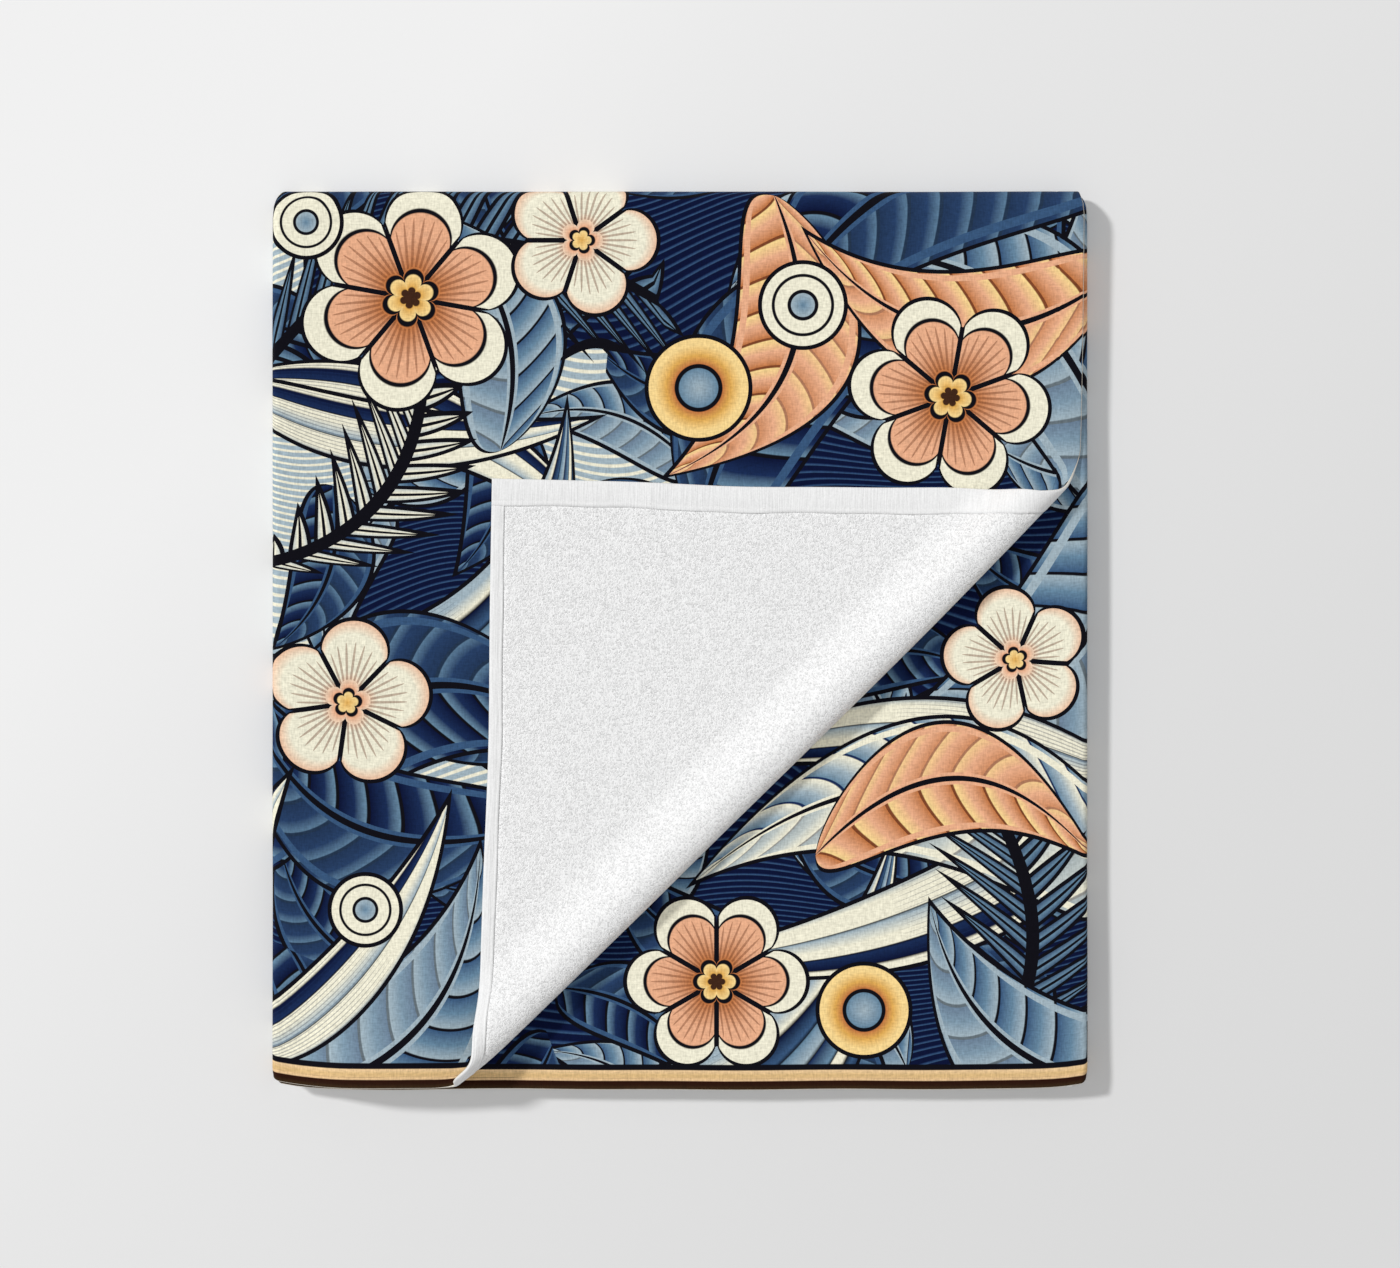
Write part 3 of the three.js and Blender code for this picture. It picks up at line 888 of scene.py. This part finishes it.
# What is drawn, lowest first: where each starts (or its centre), in metres from the packet's
# middle as it lies, the way it points in degrees, its length (or radius), how wide it is to
# each side and how far it bends, as shares of its length, and its number of veins or petals.
DRAWING_LINE = 0.0023
DRAWING = [
    ("blue palm", -0.245, 0.13, 14, 0.24, 0.26, 0.25, 15),
    ("night leaf", 0.01, 0.06, 40, 0.23, 0.21, 0.2, 11),
    ("day leaf", 0.25, 0.075, 148, 0.25, 0.19, -0.25, 12),
    ("night leaf", 0.255, 0.275, 212, 0.26, 0.2, -0.2, 13),
    ("autumn leaf", 0.052, 0.247, 248, 0.17, 0.22, 0.25, 10),
    ("autumn leaf", 0.245, 0.205, 172, 0.18, 0.2, 0.25, 10),
    ("cream strap", -0.25, 0.14, -24, 0.24, 0.09, 0.12, 60),
    ("cream strap", -0.25, 0.14, -4, 0.21, 0.09, -0.1, 60),
    ("day leaf", -0.1, 0.105, 112, 0.15, 0.22, -0.2, 9),
    ("blue strap", -0.262, -0.03, 40, 0.26, 0.15, -0.3, 90),
    ("night leaf", -0.25, -0.13, 10, 0.24, 0.2, 0.35, 13),
    ("night leaf", -0.085, -0.105, 150, 0.19, 0.21, 0.25, 10),
    ("day leaf", -0.262, -0.255, 44, 0.21, 0.2, -0.25, 11),
    ("cream strap", -0.255, -0.235, 76, 0.17, 0.1, 0.08, 60),
    ("cream strap", -0.25, -0.24, 52, 0.2, 0.1, -0.1, 60),
    ("blue strap", -0.15, -0.262, 32, 0.32, 0.14, -0.3, 90),
    ("day leaf", 0.265, 0.1, 222, 0.25, 0.2, 0.2, 12),
    ("cream strap", 0.25, -0.085, 178, 0.25, 0.09, -0.12, 60),
    ("cream strap", 0.262, -0.075, 200, 0.3, 0.09, 0.1, 60),
    ("pale leaf", 0.262, -0.155, 176, 0.26, 0.17, -0.25, 12),
    ("blue palm", 0.15, -0.262, 84, 0.18, 0.28, -0.2, 12),
    ("day leaf", 0.268, -0.25, 140, 0.17, 0.22, 0.2, 9),
    ("autumn leaf", 0.075, -0.118, -4, 0.16, 0.21, 0.3, 9),
    ("cream palm", -0.235, 0.04, 52, 0.15, 0.28, -0.2, 11),
    ("blossom", -0.15, 0.19, 20, 0.064, 0, 0, 6),
    ("pale blossom", -0.055, 0.222, 0, 0.044, 0, 0, 5),
    ("blossom", 0.15, 0.135, 50, 0.058, 0, 0, 6),
    ("pale blossom", -0.185, -0.035, 10, 0.048, 0, 0, 5),
    ("blossom", 0.02, -0.188, 0, 0.052, 0, 0, 6),
    ("pale blossom", 0.186, -0.01, 30, 0.042, 0, 0, 5),
    ("gold disc", 0.01, 0.14, 0, 0.03, 0, 0, 0),
    ("blue disc", -0.208, 0.232, 0, 0.021, 0, 0, 0),
    ("blue disc", 0.068, 0.186, 0, 0.025, 0, 0, 0),
    ("gold disc", 0.102, -0.204, 0, 0.027, 0, 0, 0),
    ("blue disc", -0.175, -0.15, 0, 0.021, 0, 0, 0),
]


def cloth_coordinates(tree, name="cloth"):
    """How far a point of the flat cut is along and across it, or from its end and side."""
    return node(tree, "SeparateXYZ", [node(tree, "UVMap", uv_map=name).outputs[0]]).outputs[:2]


PATCHES_PER_METRE = 6.5
PATCH_LEVEL = 0.60
LINES_PER_METRE = 240.0
LINE_SWAY = 24.0


def ground(tree, place):
    """The ground behind the garden: dark and light patches, engraved with fine lines."""
    cloud = noise(tree, place, PATCHES_PER_METRE, 0.0)
    _, y, _ = node(tree, "SeparateXYZ", [place]).outputs
    lines = calc(tree, "FRACT", fit(tree, y, LINES_PER_METRE, times(tree, cloud, LINE_SWAY)))
    dark = ramp(tree, lines, [(0, BLUE), (0.22, DEEP_BLUE), (0.3, NAVY), (0.9, NAVY), (1, BLUE)])[0]
    light_stops = [(0, CREAM), (0.25, CREAM), (0.35, PALE_BLUE), (0.9, PALE_BLUE), (1, CREAM)]
    light = ramp(tree, lines, light_stops)[0]
    colour = cover(tree, calc(tree, "GREATER_THAN", cloud, PATCH_LEVEL), dark, light)
    rim = calc(tree, "COMPARE", cloud, PATCH_LEVEL, 0.008)
    return cover(tree, rim, colour, linear(INK))


def lay_motif(tree, kind, place, under, start, angle, size):
    """One motif of this size laid over a colour, from its start and along its angle."""
    local = node(
        tree, "Mapping", [place, start, (0, 0, angle), (size, size, 1)], vector_type="TEXTURE")
    laid = node(tree, "Group", node_tree=MOTIFS[kind])
    feed(tree, laid, [("Place", local.outputs[0]), ("Under", under), ("Line", DRAWING_LINE / size)])
    return laid


def scattered(tree, place, under, kind, spacing, length, half, bend, veins, shift):
    """Small leaves all over the ground, one to a cell, each turned its own way."""
    cells = node(tree, "TexVoronoi", voronoi_dimensions="2D", feature="F1")
    moved = node(tree, "VectorMath", [place, (shift, 2 * shift, 0)], operation="ADD").outputs[0]
    feed(tree, cells, [("Vector", moved), ("Scale", 1 / spacing), ("Randomness", 0.55)])
    local = node(tree, "VectorMath", [moved, cells.outputs["Position"]], operation="SUBTRACT").outputs[0]
    chance = node(tree, "SeparateColor", [cells.outputs["Color"]]).outputs[0]
    angle = times(tree, chance, 2 * math.pi)
    turned = node(tree, "VectorRotate", rotation_type="Z_AXIS")
    feed(tree, turned, [("Vector", local), ("Angle", angle)])
    laid = lay_motif(tree, kind, turned.outputs[0], under, (-length / 2, 0, 0), 0, length)
    feed(tree, laid, [("Half", half), ("Bend", bend), ("Veins", veins)])
    return laid.outputs[0]


def drawn(tree, place):
    """The whole drawing, each motif laid over those before it."""
    colour = ground(tree, place)
    colour = scattered(tree, place, colour, "day leaf", 0.120, 0.104, 0.21, -0.7, 9, 0.077)
    colour = scattered(tree, place, colour, "night leaf", 0.098, 0.100, 0.24, 0.6, 8, 0.031)
    for kind, x, y, angle, size, half, bend, count in DRAWING:
        laid = lay_motif(tree, kind, place, colour, (x, y, 0), math.radians(angle), size)
        if "Petals" in laid.inputs:
            laid.inputs["Petals"].default_value = count
        else:
            feed(tree, laid, [("Half", half), ("Bend", 4 * bend), ("Veins", count)])
        colour = laid.outputs[0]
    return colour


# The striped border, by how far in from the side.
BORDER_REACH = 0.02
BORDER = [
    (0, (60, 44, 24)), (0.0026, (44, 22, 10)), (0.0048, (40, 12, 4)), (0.0052, (226, 190, 144)),
    (0.0078, (214, 180, 126)), (0.0106, (232, 198, 152)), (0.0110, INK), (0.0138, INK),
    (0.0142, None),
]
PALE_EDGE = 0.0003
PALE_EDGE_COLOUR = (226, 218, 204)
YARN = 0.0009
YARN_LENGTH = 0.0036


def streak(tree, u, v, wide, tall):
    """Noise drawn out to this size."""
    place = node(tree, "CombineXYZ", [calc(tree, "DIVIDE", u, wide), calc(tree, "DIVIDE", v, tall)])
    return noise(tree, place.outputs[0], 1.0, 1.0)


def grain(tree, u, v, fine, long):
    """Threads both ways: streaks of uneven yarn along and across the cloth, from 0 to 1."""
    streaks = []
    for wide, tall in ((fine, long), (long, fine)):
        streaks.append(streak(tree, u, v, wide, tall))
    return times(tree, calc(tree, "ADD", *streaks), 0.5)


RELIEF = 0.0004


def cotton(tree, shader, colour, specular, sheen, strength, height):
    """Dull cotton with a little sheen, and relief from its height."""
    bump = node(tree, "Bump")
    feed(tree, bump, [("Strength", strength), ("Distance", RELIEF), ("Height", height)])
    feed(tree, shader, [
        ("Base Color", colour), ("Roughness", 0.95), ("Specular IOR Level", specular),
        ("Sheen Weight", sheen), ("Sheen Roughness", 0.5), ("Normal", bump.outputs[0]),
    ])


def printed_cloth():
    """The printed face: flat cotton with the drawing, its border and its weave."""
    material, tree, shader = new_material("printed_cotton")
    u, v = cloth_coordinates(tree)
    repeat = (RUNS[4]["start"] + RIGHT_FOLD - PANELS[0]["start"]) / 2
    shift = repeat - (FOLDS[0]["start"] + FOLDS[0]["end"]) / 2
    turned_back = calc(tree, "PINGPONG", calc(tree, "ADD", u, shift), repeat)
    x = calc(tree, "SUBTRACT", PANELS[0]["start"] + shift, turned_back)
    from_side = calc(tree, "PINGPONG", v, WIDTH / 2)
    y = calc(tree, "ADD", from_side, PANELS[0]["front_top"])
    place = node(tree, "CombineXYZ", [x, y]).outputs[0]
    colour = drawn(tree, place)
    stripe_stops = [(reach / BORDER_REACH, tint) for reach, tint in BORDER]
    stripe = ramp(tree, calc(tree, "DIVIDE", from_side, BORDER_REACH), stripe_stops)
    colour = cover(tree, stripe[1], colour, stripe[0])
    from_end = calc(tree, "PINGPONG", u, LENGTH / 2)
    bare = calc(tree, "LESS_THAN", calc(tree, "MINIMUM", from_side, from_end), PALE_EDGE)
    colour = cover(tree, bare, colour, linear(PALE_EDGE_COLOUR))
    threads = grain(tree, u, v, YARN, YARN_LENGTH)
    lit = toned(tree, colour, fit(tree, threads, 0.80, 0.60))
    cotton(tree, shader, lit, specular=0.1, sheen=0.03, strength=0.5, height=threads)
    return material


towel.data.materials.append(printed_cloth())


# ---- The towel: its looped reverse -----------
# Uncut white loops in close rows. The hems are the flat woven ends of the cloth, turned to
# this side, with fine ribs across them and the loops starting at their sewn edge.

LOOP_WHITE = (233, 233, 233)
HEM_WHITE = (236, 236, 236)
LOOP = 0.00075
TUFT = 0.0026
LOOP_ROW = (0.0013, 0.012)
HEM_RIB = (0.014, 0.0009)
BRIGHTEST_LOOP = 1.18
# Painted shade in the step just past each hem's edge: how far past, its half width, and how much darker.
PAINTED_STEP_SHADE = dict(past=0.0003, half=0.00035, dark=-0.22)
EDGE_COLOUR = (228, 224, 214)
EDGE_YARN = 0.0012


def looped_cloth():
    """The reverse: loops over the field, and the smooth hems, with painted shade between the loops and past
    the hems' edges.
    """
    material, tree, shader = new_material("looped_cotton")
    u, v = cloth_coordinates(tree)
    from_end, from_side = cloth_coordinates(tree, "hems")
    flat_place = node(tree, "CombineXYZ", [u, v]).outputs[0]
    loops = node(tree, "TexVoronoi", voronoi_dimensions="2D", feature="SMOOTH_F1")
    feed(tree, loops, [
        ("Vector", flat_place), ("Scale", 1 / LOOP), ("Smoothness", 0.15), ("Randomness", 0.8)])
    stands = node(tree, "SeparateColor", [loops.outputs["Color"]]).outputs[0]
    high = calc(tree, "SUBTRACT", times(tree, stands, 0.9), loops.outputs["Distance"])
    high = fit(tree, noise(tree, flat_place, 1 / TUFT, 2.0), 0.15, high)
    high = fit(tree, grain(tree, u, v, *LOOP_ROW), 0.6, high)
    ribs = streak(tree, u, v, *HEM_RIB)
    in_end = calc(tree, "LESS_THAN", from_end, END_HEM)
    in_hem = calc(tree, "MAXIMUM", in_end, calc(tree, "LESS_THAN", from_side, SIDE_HEM))
    low = fit(tree, ribs, 0.8, 0.2)
    height = node(tree, "Mix", data_type="FLOAT")
    feed(tree, height, [(0, in_hem), (2, high), (3, low)])
    # The loops' colour follows their height: painted shade darkens the gaps between loops, over random tone
    # from loop to loop and row to row, and the brightest loops are held down.
    tone = fit(tree, high, 0.46, 0.915)
    tone = calc(tree, "MINIMUM", tone, BRIGHTEST_LOOP)
    fine = fit(tree, stands, 0.08, 0.85)
    hem_tone = fit(tree, ribs, 0.20, fine)
    shade = node(tree, "Mix", data_type="FLOAT")
    feed(tree, shade, [(0, in_hem), (2, tone), (3, hem_tone)])
    # A thin line just past each hem's edge, where the cloth steps down to the loops, is darkened: painted
    # shade in that step, over the real dent there. The side hem's line stops inside the end hem.
    lines = []
    for distance, line in ((from_end, END_HEM), (from_side, SIDE_HEM)):
        past = calc(tree, "SUBTRACT", distance, line + PAINTED_STEP_SHADE["past"])
        lines.append(calc(tree, "COMPARE", past, 0.0, PAINTED_STEP_SHADE["half"]))
    side_shows = times(tree, lines[1], calc(tree, "SUBTRACT", 1.0, in_end))
    step_shade = calc(tree, "MAXIMUM", lines[0], side_shows)
    step_shade_tone = fit(tree, step_shade, PAINTED_STEP_SHADE["dark"], 1.0)
    colour = cover(tree, in_hem, linear(LOOP_WHITE), linear(HEM_WHITE))
    lit = toned(tree, colour, times(tree, shade.outputs[0], step_shade_tone))
    cotton(tree, shader, lit, specular=0.15, sheen=0.1, strength=0.7, height=height.outputs[0])
    return material


def edge_cloth():
    """The turned edge of the hems, where the dye hardly reaches."""
    material, tree, shader = new_material("hem_edge_cotton")
    threads = grain(tree, *cloth_coordinates(tree), EDGE_YARN, EDGE_YARN)
    tone = fit(tree, threads, 0.3, 0.84)
    lit = toned(tree, linear(EDGE_COLOUR)[:3], tone)
    feed(tree, shader, [("Base Color", lit), ("Roughness", 0.95), ("Specular IOR Level", 0.15)])
    return material


towel.data.materials.append(looped_cloth())
towel.data.materials.append(edge_cloth())
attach(towel, "root")
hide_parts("towel")


# ---- The hem stitches ------------------------
# White lockstitches that hold the turned hems down. Each is a short thread that sinks into
# the cloth at both ends. Only the rows on the reverse are made, since the thread lies too
# deep in the printed face to show there.

STITCH_PITCH = 0.0032
STITCH_LENGTH = 0.0027
THREAD = 0.00045
THREAD_WHITE = (236, 236, 234)
THREAD_LEVEL = -0.00085
THREAD_TWIST = 2500.0
NEARBY = 0.0005


def stitch_places():
    """Where each stitch lies on the flat cut, and the way that its seam runs."""
    places = []
    for u in (END_SEAM, LENGTH - END_SEAM):
        places += [(u, v, 0, 1) for v in np.arange(EDGE_ROUND, WIDTH - EDGE_ROUND, STITCH_PITCH)]
    for v in (SIDE_SEAM, WIDTH - SIDE_SEAM):
        places += [(u, v, 1, 0) for u in np.arange(END_HEM + 0.001, LENGTH - END_HEM, STITCH_PITCH)]
    return np.array(places)


u, v, along_u, along_v = stitch_places().T
middles, looks = on_towel(u, v, THREAD_LEVEL)
ahead, _ = on_towel(u + along_u * NEARBY, v + along_v * NEARBY, THREAD_LEVEL)
behind, _ = on_towel(u - along_u * NEARBY, v - along_v * NEARBY, THREAD_LEVEL)
bm = bmesh.new()
for middle, look, run in zip(middles, looks, ahead - behind):
    run = Vector(run).normalized()
    side = Vector(look).cross(run).normalized()
    axes = (run * STITCH_LENGTH / 2, side * THREAD / 2, run.cross(side) * THREAD / 2)
    shape = Matrix.Translation(middle) @ Matrix(axes).transposed().to_4x4()
    bmesh.ops.create_icosphere(bm, subdivisions=1, radius=1, matrix=shape)
for face in bm.faces:
    face.smooth = True
stitches = add_object("hem_stitches", finished(bm, "hem_stitches"))
thread, tree, shader = new_material("sewing_thread")
twist = node(tree, "TexNoise")
feed(tree, twist, [("Vector", node(tree, "TexCoord").outputs["Object"]), ("Scale", THREAD_TWIST)])
tone = fit(tree, twist.outputs[0], 0.4, 0.8)
lit = toned(tree, linear(THREAD_WHITE)[:3], tone)
feed(tree, shader, [("Base Color", lit), ("Roughness", 0.6)])
stitches.data.materials.append(thread)
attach(stitches, "root")


# ---- Table top -------------------------------
# The plain pale surface that the towel lies on: one flat sheet, far wider than the view,
# with painted light that makes it a little brighter towards the lamp and darker away from it.

FLOOR_HALF_SIZE = 20
# Painted light across the table top: its grey from the lamp's side to the far side.
FLOOR_GREYS = [(0, 241), (0.19, 240), (0.28, 236), (0.41, 231), (0.65, 225), (0.81, 221), (1, 218)]
DARKER_TOWARDS = (0.85, -0.68)

bm = bmesh.new()
bmesh.ops.create_grid(bm, x_segments=1, y_segments=1, size=FLOOR_HALF_SIZE)
floor = add_object("floor", finished(bm, "floor"))
paper, tree, shader = new_material("pale_table_top")
x, y, _ = node(tree, "SeparateXYZ", [node(tree, "TexCoord").outputs["Object"]]).outputs
away = fit(tree, y, DARKER_TOWARDS[1], 0.5)
away = fit(tree, x, DARKER_TOWARDS[0], away)
tint = ramp(tree, away, [(place, (grey, grey, grey)) for place, grey in FLOOR_GREYS])
feed(tree, shader, [("Base Color", tint[0]), ("Roughness", 0.9), ("Specular IOR Level", 0.1)])
floor.data.materials.append(paper)


# ---- Light -----------------------------------
# A soft lamp from the upper left, a softer one straight above, and an even pale surround.
# Together they give the table top as much light as shows a colour as it is written.

SIDE_SHARE = 0.415
SIDE_LAMP_FROM = Vector((-0.950, 0.490, 1.0))
TOP_SHARE = 0.24
BACKDROP = (231, 231, 232)


def soft_lamp(name, comes_from, spread, share):
    """A far soft lamp that gives the table top this share of its light."""
    lamp = bpy.data.lights.new(name, "SUN")
    lamp.energy = share * math.pi / comes_from.normalized().z
    lamp.angle = math.radians(spread)
    placed = add_object(name, lamp)
    placed.rotation_euler = comes_from.to_track_quat("Z", "Y").to_euler()


soft_lamp("side_lamp", SIDE_LAMP_FROM, 6.5, SIDE_SHARE)
soft_lamp("top_lamp", Vector((0, 0, 1)), 24, TOP_SHARE)

world = bpy.data.worlds.new("surround")
bpy.context.scene.world = world
world.use_nodes = True
tree = world.node_tree
seen = node(tree, "LightPath").outputs["Is Camera Ray"]
even = tree.nodes["Background"]
feed(tree, even, [("Color", (1, 1, 1, 1)), ("Strength", 1 - SIDE_SHARE - TOP_SHARE)])
backdrop = node(tree, "Background", [linear(BACKDROP), 1.0])
either = node(tree, "MixShader", [seen, even.outputs[0], backdrop.outputs[0]])
tree.links.new(either.outputs[0], tree.nodes["World Output"].inputs["Surface"])

bpy.context.scene.view_settings.view_transform = "Standard"
